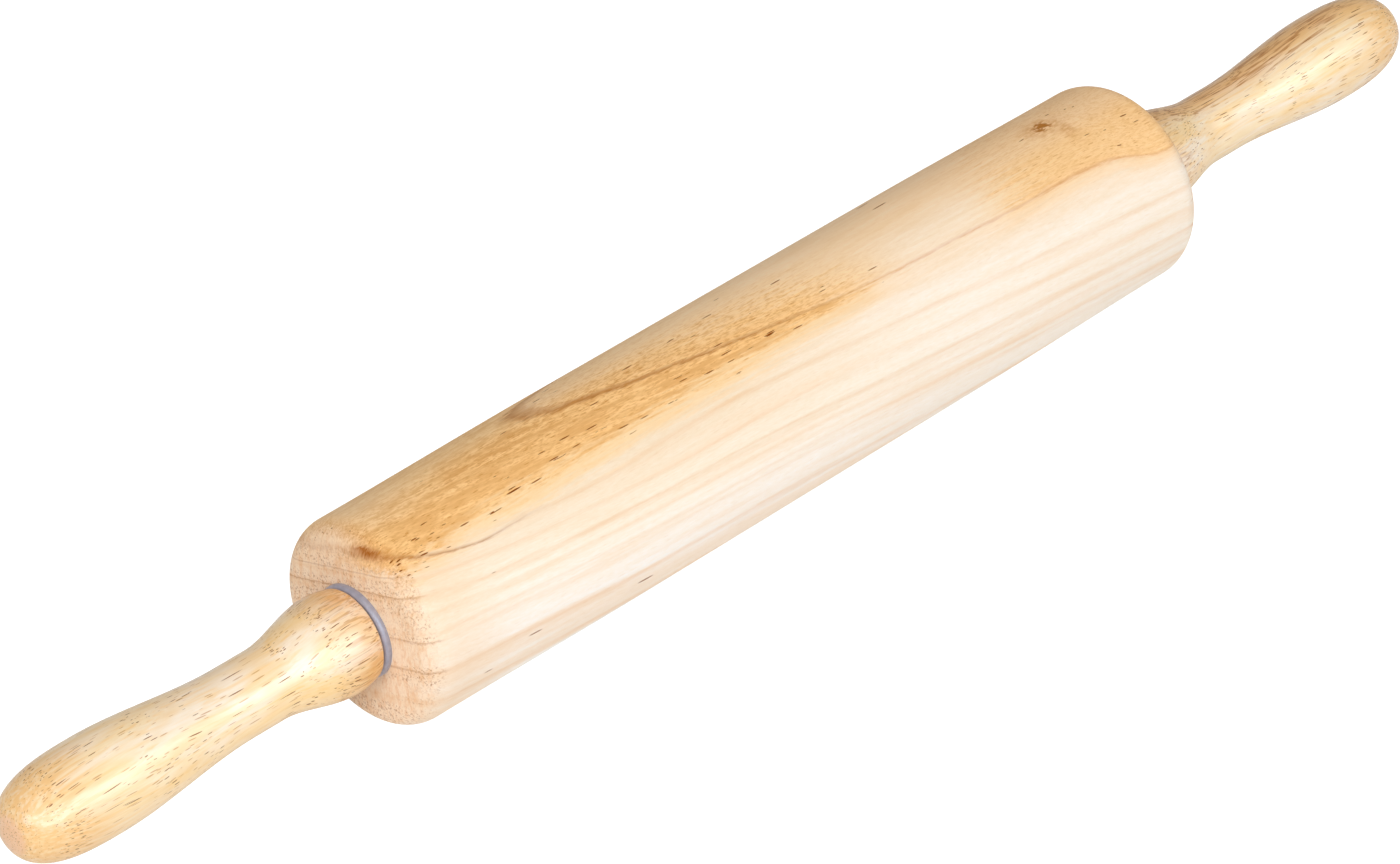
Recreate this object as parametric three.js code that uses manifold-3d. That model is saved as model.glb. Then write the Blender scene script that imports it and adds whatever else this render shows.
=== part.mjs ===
// A wooden rolling pin with two turned handles. A steel rod runs through the barrel from handle to
// handle, and a ball bearing in each end of the barrel lets it roll while the handles stay still.
// Millimetres, +Z up. The pin lies along X, and the origin is on the table under its middle.
import * as THREE from "three";
import { mergeVertices } from "three/addons/utils/BufferGeometryUtils.js";
import Module from "manifold-3d";

// Barrel: the turned roller, with rounded ends
const barrelLength = 256.8;
const barrelDiameter = 52.5;
const barrelEaseLength = 70; // the last stretch, which sanding leaves a little thinner
const barrelEaseDepth = 0.5;
const barrelEdgeLength = 6; // how far the rounding reaches along the barrel
const barrelEdgeDepth = 5; // how far it reaches in across the end face
const barrelBoreClearance = 1.4; // around the rod, so that the rod runs only in the bearings
const seatDepthClearance = 1; // free depth behind each bearing cup

// Rod: plain steel, knurled at both ends where the handles are glued on
const rodDiameter = 8;
const rodReach = 52; // how far the rod goes into each handle
const rodChamfer = 0.7;
const knurlLength = 34;
const knurlHeight = 0.2;
const knurlPitch = 1.05; // tooth to tooth, round the rod
const glueFit = 0.06; // radial gap between the knurl's crests and the handle's bore
const gluePocket = 2.5; // free depth past the rod's end

// Balls: one ring of loose steel balls in each bearing
const ballDiameter = 4;
const ballSpacing = 0.15; // least gap from ball to ball
const raceClearance = 0.12; // from ball to race

// Bearing cone: the inner race, a sleeve on the rod with a dust flange that the handle bears on
const coneFit = 0.1; // radial gap to the rod
const coneWall = 0.85; // wall at the bottom of the race
const coneFlangeThickness = 0.9;
const coneShoulder = 0.23; // from the race's edge out to the dust flange
const coneTail = 1.5; // sleeve on the barrel's side of the ball centres
const coneChamfer = 0.25;

// Bearing cup: the grey outer race, pressed into the barrel, with a rounded flange that shows
const cupWall = 1.3;
const cupWeb = 1.5; // wall behind the race
const cupSkirt = 5.4; // wall that reaches on into the wood behind the web
const cupLeadIn = 0.6; // chamfer at the skirt's end
const cupRodClearance = 0.5;
const flangeLip = 1.15; // how far the flange stands out past the cup's body
const flangeThickness = 1.6;
const flangeRound = 1.1; // radius of the flange's outer edges
const mouthClearance = 0.45; // between the cone's dust flange and the cup
const ribHeight = 0.25;
const ribWidth = 0.9;
const ribCount = 8;
const pressFit = 0.06; // radial gap between the ribs and the seat in the barrel
const runningGap = 0.2; // between the flange and the handle's foot

// Handles: a swelling at the foot, a waist for the fingers and a rounded grip
const handleLength = 98.3;
const footReveal = 0.1; // how much wider the flange is than the handle's foot
const footRound = 1.1;
const swellDiameter = 24.6;
const waistDiameter = 17.6;
const gripDiameter = 23.5;
const swellPlaceShare = 0.065; // places along the handle, as shares of its length
const waistStartShare = 0.262;
const waistEndShare = 0.354;
const gripPlaceShare = 0.75;
const nosePower = 2.8; // superellipse exponent of the nose: 2 is an ellipse, more is blunter

// Facets round each turned piece
const barrelFacets = 48;
const handleFacets = 36;
const bearingFacets = 32;
const rodFacets = 32;
const roundSteps = 4; // steps in a small rounding
const swellSteps = 3; // steps in the bulge of a handle's foot
const sweepSteps = 5; // steps in each long curve of a handle
const noseSteps = 8;
const ballDetail = 2;

// Radii and places that follow. Places on one side of the pin are measured outwards from the
// barrel's end face.
const barrelRadius = barrelDiameter / 2;
const rodRadius = rodDiameter / 2;
const ballRadius = ballDiameter / 2;
const raceRadius = ballRadius + raceClearance;
const sleeveRadius = rodRadius + coneFit + coneWall;
const pitchRadius = sleeveRadius + raceRadius;
const mouthRadius = pitchRadius + raceRadius;
const cupRadius = mouthRadius + cupWall;
const flangeRadius = cupRadius + flangeLip;
const seatRadius = cupRadius + ribHeight + pressFit;
const footRadius = flangeRadius - footReveal;
const handleBoreRadius = rodRadius + knurlHeight + glueFit;
const footPlace = flangeThickness + runningGap;
const ballPlace = footPlace - coneFlangeThickness - coneShoulder - raceRadius;
const webPlace = ballPlace - raceRadius; // the web's face towards the balls
const cupEnd = webPlace - cupWeb - cupSkirt;
const rodLength = barrelLength + 2 * (footPlace + rodReach);
const ballCount = Math.floor(Math.PI / Math.asin((ballRadius + ballSpacing / 2) / pitchRadius));
const axisHeight = barrelRadius * Math.cos(Math.PI / barrelFacets); // the lowest facet lies at z = 0

const quarterTurn = Math.PI / 2;

const woodPale = new THREE.MeshStandardMaterial({ color: 0xf0d3a8, roughness: 0.62 });
const woodAmber = new THREE.MeshStandardMaterial({ color: 0xe9bf83, roughness: 0.3 });
const greyNylon = new THREE.MeshStandardMaterial({ color: 0x8d8b93, roughness: 0.4 });
const rodSteel = new THREE.MeshStandardMaterial({ color: 0xb4b6ba, roughness: 0.35, metalness: 1 });
const ballSteel = new THREE.MeshStandardMaterial({ color: 0xc9cbcf, roughness: 0.12, metalness: 1 });

const wasm = await Module();
wasm.setup();

// A closed geometry as a solid that can be joined and cut
function solidFrom(geometry) {
  const bare = geometry.clone();
  bare.deleteAttribute("normal");
  bare.deleteAttribute("uv");
  const merged = mergeVertices(bare);
  return new wasm.Manifold(
    new wasm.Mesh({
      numProp: 3,
      vertProperties: merged.attributes.position.array,
      triVerts: new Uint32Array(merged.index.array),
    }),
  );
}

function geometryFrom(solid) {
  const mesh = solid.getMesh();
  const geometry = new THREE.BufferGeometry();
  geometry.setAttribute("position", new THREE.BufferAttribute(mesh.vertProperties, 3));
  geometry.setIndex(new THREE.BufferAttribute(mesh.triVerts, 1));
  geometry.computeVertexNormals();
  return geometry;
}

// Turns an outline of (radius, place) points about Y, with a facet and not an edge at the bottom
function turned(outline, facets) {
  return new THREE.LatheGeometry(outline, facets, Math.PI / facets);
}

// Points of an elliptical arc about (radius, place), from one angle to another
function arc(radius, place, radialReach, axialReach, fromAngle, toAngle) {
  const points = [];
  for (let i = 0; i <= roundSteps; i++) {
    const angle = fromAngle + ((toAngle - fromAngle) * i) / roundSteps;
    const r = radius + radialReach * Math.cos(angle);
    points.push(point(r, place + axialReach * Math.sin(angle)));
  }
  return points;
}

function point(radius, place) {
  return new THREE.Vector2(radius, place);
}

// An outline and its mirror image across place 0, closed on itself
function mirrored(half) {
  const other = half.map((p) => point(p.x, -p.y)).reverse();
  return [...half, ...other, half[0].clone()];
}

// The barrel: a long bore for the rod, and a seat for a bearing cup in each end
function barrelGeometry() {
  const end = barrelLength / 2;
  const seatEnd = end + cupEnd - seatDepthClearance;
  const easedRadius = barrelRadius - barrelEaseDepth;
  const rounding = arc(
    easedRadius - barrelEdgeDepth,
    end - barrelEdgeLength,
    barrelEdgeDepth,
    barrelEdgeLength,
    quarterTurn,
    0,
  );
  const half = [
    point(barrelRadius, end - barrelEaseLength),
    ...rounding.reverse(),
    point(seatRadius, end),
    point(seatRadius, seatEnd),
    point(rodRadius + barrelBoreClearance, seatEnd),
  ];
  return turned(mirrored(half), barrelFacets);
}

// The rod: chamfered ends, and a straight knurl that the glue keys into
function rodGeometry() {
  const end = rodLength / 2;
  const half = [
    point(rodRadius, end - rodChamfer),
    point(rodRadius - rodChamfer, end),
    point(0, end),
  ];
  const otherHalf = half.map((p) => point(p.x, -p.y)).reverse();
  let rod = solidFrom(turned([...otherHalf, ...half], rodFacets));
  const knurlPlace = end - rodChamfer - knurlLength;
  for (const side of [1, -1]) {
    const ring = knurlRing();
    ring.rotateX(-side * quarterTurn);
    ring.translate(0, side * knurlPlace, 0);
    rod = rod.add(solidFrom(ring));
  }
  return geometryFrom(rod);
}

// One knurled stretch, from z = 0 upwards: V-shaped teeth round the rod
function knurlRing() {
  const teeth = Math.round((2 * Math.PI * rodRadius) / knurlPitch);
  const rootRadius = rodRadius - knurlHeight;
  const crestRadius = rodRadius + knurlHeight;
  const section = [];
  for (let i = 0; i < 2 * teeth; i++) {
    const r = i % 2 ? rootRadius : crestRadius;
    const angle = (Math.PI * i) / teeth;
    section.push(new THREE.Vector2(r * Math.cos(angle), r * Math.sin(angle)));
  }
  const options = { depth: knurlLength, bevelEnabled: false };
  return new THREE.ExtrudeGeometry(new THREE.Shape(section), options);
}

// The bearing cup: race, web, skirt with crush ribs, and the flange that shows
function cupGeometry() {
  const holeRadius = rodRadius + cupRodClearance;
  const race = arc(pitchRadius, ballPlace, raceRadius, raceRadius, 0, -quarterTurn);
  const outerRound = arc(
    flangeRadius - flangeRound,
    flangeThickness - flangeRound,
    flangeRound,
    flangeRound,
    0,
    quarterTurn,
  );
  const outline = [
    point(holeRadius, webPlace),
    point(holeRadius, webPlace - cupWeb),
    point(mouthRadius, webPlace - cupWeb),
    point(mouthRadius, cupEnd),
    point(cupRadius - cupLeadIn, cupEnd),
    point(cupRadius, cupEnd + cupLeadIn),
    point(cupRadius, 0),
    point(flangeRadius, 0),
    ...outerRound,
    point(mouthRadius, flangeThickness),
    ...race,
    point(holeRadius, webPlace),
  ];
  let cup = solidFrom(turned(outline, bearingFacets));
  for (let i = 0; i < ribCount; i++) {
    cup = cup.add(solidFrom(crushRib((2 * Math.PI * i) / ribCount)));
  }
  return geometryFrom(cup);
}

// One crush rib along the skirt, rooted in the skirt's wall
function crushRib(angle) {
  const root = cupRadius - cupWall / 2;
  const depth = cupRadius + ribHeight - root;
  const length = -cupEnd - cupLeadIn;
  const rib = new THREE.BoxGeometry(ribWidth, length, depth);
  rib.translate(0, -length / 2, root + depth / 2);
  rib.rotateY(angle);
  return rib;
}

// The bearing cone: sleeve, race and dust flange
function coneGeometry() {
  const boreRadius = rodRadius + coneFit;
  const flangeInner = footPlace - coneFlangeThickness;
  const dustRadius = mouthRadius - mouthClearance;
  const race = arc(pitchRadius, ballPlace, raceRadius, raceRadius, Math.PI, quarterTurn);
  const outline = [
    point(boreRadius, ballPlace - coneTail),
    point(sleeveRadius - coneChamfer, ballPlace - coneTail),
    point(sleeveRadius, ballPlace - coneTail + coneChamfer),
    ...race,
    point(pitchRadius, flangeInner),
    point(dustRadius - coneChamfer, flangeInner),
    point(dustRadius, flangeInner + coneChamfer),
    point(dustRadius, footPlace),
    point(boreRadius, footPlace),
    point(boreRadius, ballPlace - coneTail),
  ];
  return turned(outline, bearingFacets);
}

// A smooth step from one radius to another, level at both ends
function eased(fromRadius, toRadius, share) {
  return fromRadius + (toRadius - fromRadius) * share * share * (3 - 2 * share);
}

// The outside of a handle, from its foot to the tip of its nose
function handleOutline() {
  const swell = point(swellDiameter / 2, footPlace + handleLength * swellPlaceShare);
  const waistStart = point(waistDiameter / 2, footPlace + handleLength * waistStartShare);
  const waistEnd = point(waistDiameter / 2, footPlace + handleLength * waistEndShare);
  const grip = point(gripDiameter / 2, footPlace + handleLength * gripPlaceShare);
  const footEdge = arc(
    footRadius - footRound,
    footPlace + footRound,
    footRound,
    footRound,
    -quarterTurn,
    0,
  );
  const outline = [...footEdge];
  const foot = footEdge[footEdge.length - 1];
  for (let k = 1; k <= swellSteps; k++) {
    const share = k / swellSteps;
    const bulge = Math.sin(quarterTurn * share);
    outline.push(point(foot.x + (swell.x - foot.x) * bulge, foot.y + (swell.y - foot.y) * share));
  }
  const stations = [swell, waistStart, waistEnd, grip];
  for (let i = 1; i < stations.length; i++) {
    const from = stations[i - 1];
    const to = stations[i];
    const steps = from.x === to.x ? 1 : sweepSteps;
    for (let k = 1; k <= steps; k++) {
      const share = k / steps;
      outline.push(point(eased(from.x, to.x, share), from.y + (to.y - from.y) * share));
    }
  }
  const noseLength = footPlace + handleLength - grip.y;
  for (let k = 1; k <= noseSteps; k++) {
    const angle = (quarterTurn * k) / noseSteps;
    const across = k === noseSteps ? 0 : Math.cos(angle) ** (2 / nosePower);
    outline.push(point(grip.x * across, grip.y + noseLength * Math.sin(angle) ** (2 / nosePower)));
  }
  return outline;
}

// A handle: turned outside, with a blind bore for the rod's end
function handleGeometry() {
  const boreEnd = footPlace + rodReach + gluePocket;
  const outline = [
    point(0, boreEnd),
    point(handleBoreRadius, boreEnd),
    point(handleBoreRadius, footPlace),
    ...handleOutline(),
  ];
  return turned(outline, handleFacets);
}

function mesh(name, geometry, material) {
  const made = new THREE.Mesh(geometry, material);
  made.name = name;
  return made;
}

// One end of the pin, built outwards along Y from the barrel's end face
function pinEnd(side) {
  const end = new THREE.Group();
  end.add(mesh(`${side}_bearing_cup`, cupGeometry(), greyNylon));
  end.add(mesh(`${side}_bearing_cone`, coneGeometry(), rodSteel));
  end.add(mesh(`${side}_handle`, handleGeometry(), woodAmber));
  for (let i = 0; i < ballCount; i++) {
    const number = String(i + 1).padStart(2, "0");
    const geometry = new THREE.IcosahedronGeometry(ballRadius, ballDetail);
    const ball = mesh(`${side}_ball_${number}`, geometry, ballSteel);
    const angle = (2 * Math.PI * i) / ballCount;
    ball.position.set(pitchRadius * Math.sin(angle), ballPlace, pitchRadius * Math.cos(angle));
    end.add(ball);
  }
  return end;
}

const pin = new THREE.Group();
pin.position.z = axisHeight;

const barrel = mesh("barrel", barrelGeometry(), woodPale);
barrel.rotation.z = -quarterTurn;
pin.add(barrel);

const rod = mesh("axle_rod", rodGeometry(), rodSteel);
rod.rotation.z = -quarterTurn;
pin.add(rod);

const leftEnd = pinEnd("left");
leftEnd.position.x = -barrelLength / 2;
leftEnd.rotation.z = quarterTurn;
pin.add(leftEnd);

const rightEnd = pinEnd("right");
rightEnd.position.x = barrelLength / 2;
rightEnd.rotation.z = -quarterTurn;
pin.add(rightEnd);

export default pin;
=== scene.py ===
import math
import bpy
import numpy as np
from mathutils import Matrix, Vector


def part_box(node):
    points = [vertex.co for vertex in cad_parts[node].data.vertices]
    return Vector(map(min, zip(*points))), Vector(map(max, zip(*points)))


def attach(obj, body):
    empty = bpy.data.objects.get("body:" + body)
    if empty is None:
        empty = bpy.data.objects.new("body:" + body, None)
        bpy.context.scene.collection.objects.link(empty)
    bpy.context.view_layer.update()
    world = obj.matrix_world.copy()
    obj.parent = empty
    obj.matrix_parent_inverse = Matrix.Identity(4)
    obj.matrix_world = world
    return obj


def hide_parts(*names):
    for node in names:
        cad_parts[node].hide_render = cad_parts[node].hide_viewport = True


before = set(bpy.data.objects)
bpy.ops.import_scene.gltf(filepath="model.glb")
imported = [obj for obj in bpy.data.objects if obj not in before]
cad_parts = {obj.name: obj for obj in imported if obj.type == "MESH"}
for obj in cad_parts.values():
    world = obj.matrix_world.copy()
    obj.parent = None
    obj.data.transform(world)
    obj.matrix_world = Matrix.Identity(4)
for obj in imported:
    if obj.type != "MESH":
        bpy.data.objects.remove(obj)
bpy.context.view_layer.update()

# A wooden rolling pin on ball bearings: pale barrel, lacquered handles, grey bearing cups.
# Metres. The pin lies along X, and every piece keeps the place of the part that it stands for.

mm = 0.001

barrelLow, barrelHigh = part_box("barrel")
handleLow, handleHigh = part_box("right_handle")
cupLow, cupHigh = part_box("right_bearing_cup")

axisHeight = (barrelLow.z + barrelHigh.z) / 2
barrelEnd = barrelHigh.x
barrelRadius = (barrelHigh.z - barrelLow.z) / 2
handleFoot = handleLow.x - barrelEnd      # places on a side are measured out from the barrel's end face
handleTip = handleHigh.x - barrelEnd
cupBack = cupLow.x - barrelEnd
cupFace = cupHigh.x - barrelEnd
cupFlangeRadius = (cupHigh.z - cupLow.z) / 2
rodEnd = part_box("axle_rod")[1].x


# Camera and light

photoView = {
    "azimuth": -45.1,                     # degrees; 0 looks along +Y
    "elevation": 36.27,
    "distance": 1.3688,                   # from the camera to the plane through the pin's middle
    "middleRight": 0.01437,               # the pin's middle, right of and above the picture's centre
    "middleUp": 0.00977,
    "lens": 149.9,
    "sensor": 36.0,
}


def makeCamera(look):
    azimuth = math.radians(look["azimuth"])
    elevation = math.radians(look["elevation"])
    back = Vector((
        math.sin(azimuth) * math.cos(elevation),
        -math.cos(azimuth) * math.cos(elevation),
        math.sin(elevation),
    ))
    right = Vector((0, 0, 1)).cross(back).normalized()
    up = back.cross(right)
    place = Vector((0, 0, axisHeight)) + back * look["distance"]
    place -= right * look["middleRight"] + up * look["middleUp"]
    data = bpy.data.cameras.new("photoCamera")
    data.lens = look["lens"]
    data.sensor_width = look["sensor"]
    data.sensor_fit = "HORIZONTAL"
    data.clip_start = 0.05
    data.clip_end = 50
    camera = bpy.data.objects.new("photoCamera", data)
    turn = Matrix((right, up, back)).transposed().to_4x4()
    camera.matrix_world = Matrix.Translation(place) @ turn
    bpy.context.scene.collection.objects.link(camera)
    bpy.context.scene.camera = camera


makeCamera(photoView)
bpy.context.scene.view_settings.view_transform = "Standard"

lamps = {
    # the way to it from the pin, its distance, its width and height in metres, its level
    "keyLamp": {"way": (0.20, -0.85, 0.49), "distance": 1.6, "size": (3.2, 0.45), "level": 0.5},
    "fillLamp": {"way": (-0.05, -0.25, 0.95), "distance": 1.7, "size": (1.8, 1.2), "level": 0.19},
    # this one shows in reflections only
    "glossLamp": {"way": (-0.14, -0.87, 0.50), "distance": 1.6, "size": (3.2, 1.2), "level": 2.4,
                  "colour": (0.62, 0.80, 1.0), "glossOnly": True},
    "sideLamp": {"way": (-0.80, -0.28, 0.52), "distance": 3.0, "size": (1.1, 1.1), "level": 0.31},
    "nearLamp": {"way": (-0.64, -0.16, 0.75), "distance": 0.68, "size": (0.35, 0.35), "level": 0.09},
}

studio = {
    "roomLevel": 0.41,                    # the white room, as it lights the wood
    "floorGlow": 0.85,                    # how much of the floor's white comes from itself
    "floorWhite": 1.3,
    "floorPaint": (0.9, 0.9, 0.9, 1.0),
    "floorSize": 8.0,
    "floorDrop": 0.02 * mm,               # just clear of the barrel's lowest line
}


def makeLamp(name, lamp):
    way = Vector(lamp["way"]).normalized()
    data = bpy.data.lights.new(name, "AREA")
    data.shape = "RECTANGLE"
    data.size, data.size_y = lamp["size"]
    data.color = lamp.get("colour", (1.0, 1.0, 1.0))
    # so that a lamp's level at the pin doesn't depend on its distance
    data.energy = lamp["level"] * math.pi ** 2 * lamp["distance"] ** 2
    made = bpy.data.objects.new(name, data)
    made.location = Vector((0, 0, axisHeight)) + way * lamp["distance"]
    made.rotation_mode = "QUATERNION"
    made.rotation_quaternion = way.to_track_quat("Z", "Y")
    made.visible_diffuse = not lamp.get("glossOnly", False)
    bpy.context.scene.collection.objects.link(made)


class Sketch:
    # short words for building a node tree: most of them add nodes and give back the last one's socket

    def __init__(self, tree):
        self.tree = tree

    def add(self, kind, **settings):
        node = self.tree.nodes.new(kind)
        for key, value in settings.items():
            setattr(node, key, value)
        return node

    def put(self, socket, value):
        if isinstance(value, bpy.types.NodeSocket):
            self.tree.links.new(value, socket)
        else:
            socket.default_value = value

    def fill(self, node, names, values):
        for name, value in zip(names, values):
            self.put(node.inputs[name], value)

    def math(self, operation, *values):
        node = self.add("ShaderNodeMath", operation=operation)
        self.fill(node, range(len(values)), values)
        return node.outputs[0]

    def chain(self, operation, first, *others):
        for other in others:
            first = self.math(operation, first, other)
        return first

    def product(self, *values):
        return self.chain("MULTIPLY", *values)

    def total(self, *values):
        return self.chain("ADD", *values)

    def most(self, *values):
        return self.chain("MAXIMUM", *values)

    def without(self, value):
        return self.math("SUBTRACT", 1.0, value)

    def rise(self, value, start, end, low=0.0, high=1.0, curve="SMOOTHSTEP"):
        # low where the value is at start or short of it, high from end on, and a soft curve between
        node = self.add("ShaderNodeMapRange", interpolation_type=curve)
        names = ("Value", "From Min", "From Max", "To Min", "To Max")
        self.fill(node, names, (value, start, end, low, high))
        return node.outputs["Result"]

    def linear(self, value, start, end, low=0.0, high=1.0):
        return self.rise(value, start, end, low, high, "LINEAR")

    def blend(self, factor, first, second, mode="MIX"):
        # a Mix node has sockets for every kind of data: 0 is the factor, 6 and 7 take colours
        node = self.add("ShaderNodeMix", data_type="RGBA", blend_type=mode)
        self.fill(node, (0, 6, 7), (factor, first, second))
        return node.outputs[2]

    def noise(self, vector, scale=1.0, detail=2.0, roughness=0.5):
        node = self.add("ShaderNodeTexNoise")
        self.fill(node, ("Vector", "Scale", "Detail", "Roughness"), (vector, scale, detail, roughness))
        return node.outputs["Fac"]

    def drawn(self, vector, scale, shift=(0, 0, 0), detail=2.0, roughness=0.5):
        # noise drawn out along the axes on which the scale is small
        return self.noise(self.stretch(vector, scale, shift), 1.0, detail, roughness)

    def stretch(self, vector, scale, shift=(0, 0, 0)):
        node = self.add("ShaderNodeMapping")
        self.put(node.inputs["Vector"], vector)
        node.inputs["Scale"].default_value = scale
        node.inputs["Location"].default_value = shift
        return node.outputs["Vector"]

    def parts(self, vector):
        node = self.add("ShaderNodeSeparateXYZ")
        self.put(node.inputs[0], vector)
        return node.outputs

    def join(self, x, y, z):
        node = self.add("ShaderNodeCombineXYZ")
        self.fill(node, "XYZ", (x, y, z))
        return node.outputs[0]

    def ramp(self, value, stops):
        node = self.add("ShaderNodeValToRGB")
        self.put(node.inputs[0], value)
        marks = node.color_ramp.elements
        while len(marks) < len(stops):
            marks.new(0.5)
        for mark, (place, colour) in zip(marks, sorted(stops, key=lambda stop: stop[0])):
            mark.position = place
            mark.color = colour
        return node.outputs["Color"]


def colour(red, green, blue):
    # a colour as it is named on screen, 0 to 255, in the linear values that a shader takes
    screen = np.array((red, green, blue)) / 255
    linear = np.where(screen <= 0.04045, screen / 12.92, ((screen + 0.055) / 1.055) ** 2.4)
    return (*linear.tolist(), 1.0)


def emptied(owner):
    # a sketch on a cleared node tree, and whether a ray comes straight from the camera
    owner.use_nodes = True
    owner.node_tree.nodes.clear()
    sketch = Sketch(owner.node_tree)
    return sketch, sketch.add("ShaderNodeLightPath").outputs["Is Camera Ray"]


def makeRoom(room):
    world = bpy.data.worlds.new("whiteRoom")
    bpy.context.scene.world = world
    sketch, seen = emptied(world)
    light = sketch.add("ShaderNodeBackground")
    sketch.put(light.inputs["Strength"], sketch.linear(seen, 0, 1, room["roomLevel"], 1))
    out = sketch.add("ShaderNodeOutputWorld")
    sketch.put(out.inputs["Surface"], light.outputs[0])


def makeFloor(room):
    half = room["floorSize"] / 2
    mesh = bpy.data.meshes.new("floor")
    corners = [(-half, -half, 0), (half, -half, 0), (half, half, 0), (-half, half, 0)]
    mesh.from_pydata(corners, [], [(0, 1, 2, 3)])
    floor = bpy.data.objects.new("floor", mesh)
    floor.location.z = -room["floorDrop"]
    bpy.context.scene.collection.objects.link(floor)
    paint = bpy.data.materials.new("whiteFloor")
    sketch, seen = emptied(paint)
    matt = sketch.add("ShaderNodeBsdfDiffuse")
    matt.inputs["Color"].default_value = room["floorPaint"]
    glow = sketch.add("ShaderNodeEmission")
    glow.inputs["Strength"].default_value = room["floorWhite"]
    mixed = sketch.add("ShaderNodeMixShader")
    sketch.put(mixed.inputs[0], sketch.product(seen, room["floorGlow"]))
    sketch.put(mixed.inputs[1], matt.outputs[0])
    sketch.put(mixed.inputs[2], glow.outputs[0])
    out = sketch.add("ShaderNodeOutputMaterial")
    sketch.put(out.inputs["Surface"], mixed.outputs[0])
    mesh.materials.append(paint)


for lampName, lampLook in lamps.items():
    makeLamp(lampName, lampLook)
makeRoom(studio)
makeFloor(studio)
print("stage: camera, lamps, room and floor")


# Shapes

sharpAngle = math.radians(32)             # a fold of more than this is drawn as an edge


def carriedRound(name, outline, sides, side=1, lift=None):
    # An outline of (radius, place) is carried round the pin's axis. With angle a from the top:
    # x = place, y = -radius sin a, z = axis height + radius cos a. An outline that starts and ends
    # on the axis closes in two poles, and any other outline closes on itself. The array lift adds
    # to the radius of each outline point at each angle.
    outline = np.asarray(outline, float)
    count = len(outline)
    angles = 2 * np.pi * (np.arange(sides) + 0.5) / sides
    radius = outline[:, :1] + (0 if lift is None else lift) + np.zeros((count, sides))
    x = side * outline[:, 1:] + np.zeros((count, sides))
    grid = np.stack((x, -radius * np.sin(angles), axisHeight + radius * np.cos(angles)), axis=-1)
    poles = outline[0, 0] == 0
    rings = grid[1:-1] if poles else grid
    points = rings.reshape(-1, 3)
    index = np.arange(len(points)).reshape(-1, sides)
    turned = np.roll(index, -1, axis=1)
    quads = np.stack((index, turned, np.roll(turned, -1, axis=0), np.roll(index, -1, axis=0)), axis=-1)
    caps = np.empty((0, 3), int)
    if poles:
        quads = quads[:-1]                # no faces lead from the last ring back to the first
        first = np.full(sides, len(points))
        caps = np.concatenate((
            np.stack((first, turned[0], index[0]), axis=-1),
            np.stack((first + 1, index[-1], turned[-1]), axis=-1),
        ))
        points = np.concatenate((points, grid[0, :1], grid[-1, :1]))
    return finishedMesh(name, points, quads.reshape(-1, 4), caps)


def finishedMesh(name, points, quads, triangles):
    # Faces are turned to point outwards: the volume under them, summed over all faces, is positive
    fan = np.concatenate((quads[:, [0, 1, 2]], quads[:, [0, 2, 3]], triangles))
    a, b, c = points[fan[:, 0]], points[fan[:, 1]], points[fan[:, 2]]
    if np.einsum("ij,ij->i", a, np.cross(b, c)).sum() < 0:
        quads, triangles = quads[:, ::-1], triangles[:, ::-1]
    mesh = bpy.data.meshes.new(name)
    mesh.from_pydata(points.tolist(), [], quads.tolist() + triangles.tolist())
    mesh.shade_smooth()
    mesh.set_sharp_from_angle(angle=sharpAngle)
    mesh.validate()
    made = bpy.data.objects.new(name, mesh)
    bpy.context.scene.collection.objects.link(made)
    return made


def arc(radius, place, size, start, end, steps, along=None):
    # Points of a circle about (radius, place), from one angle to another in degrees. It is an
    # ellipse where its size along the axis is given too.
    angle = np.radians(np.linspace(start, end, steps))
    return np.stack((radius + size * np.cos(angle), place + (along or size) * np.sin(angle)), axis=-1)


def smooth(share):
    return share * share * (3 - 2 * share)


def eased(start, end, share, curve):
    # Points from one (radius, place) to another, whose radius follows the curve
    radius = start[0] + (end[0] - start[0]) * curve
    return np.stack((radius, start[1] + (end[1] - start[1]) * share), axis=-1)


def standsFor(piece, node, body, material):
    piece.data.materials.append(material)
    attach(piece, body)
    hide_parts(node)


# Wood shading. Positions are in millimetres from the middle of the pin's axis.

def woodPlace(sketch):
    coords = sketch.add("ShaderNodeTexCoord").outputs["Object"]
    return sketch.stretch(coords, (1 / mm,) * 3, (0, 0, -axisHeight / mm))


def newGroup(name, numbers, results):
    # a node group that takes a vector and some numbers, and gives numbers
    group = bpy.data.node_groups.new(name, "ShaderNodeTree")
    group.interface.new_socket("Vector", in_out="INPUT", socket_type="NodeSocketVector")
    for label, value in numbers.items():
        socket = group.interface.new_socket(label, in_out="INPUT", socket_type="NodeSocketFloat")
        socket.default_value = value
    for label in results:
        group.interface.new_socket(label, in_out="OUTPUT", socket_type="NodeSocketFloat")
    sketch = Sketch(group)
    return group, sketch, sketch.add("NodeGroupInput").outputs, sketch.add("NodeGroupOutput").inputs


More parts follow.
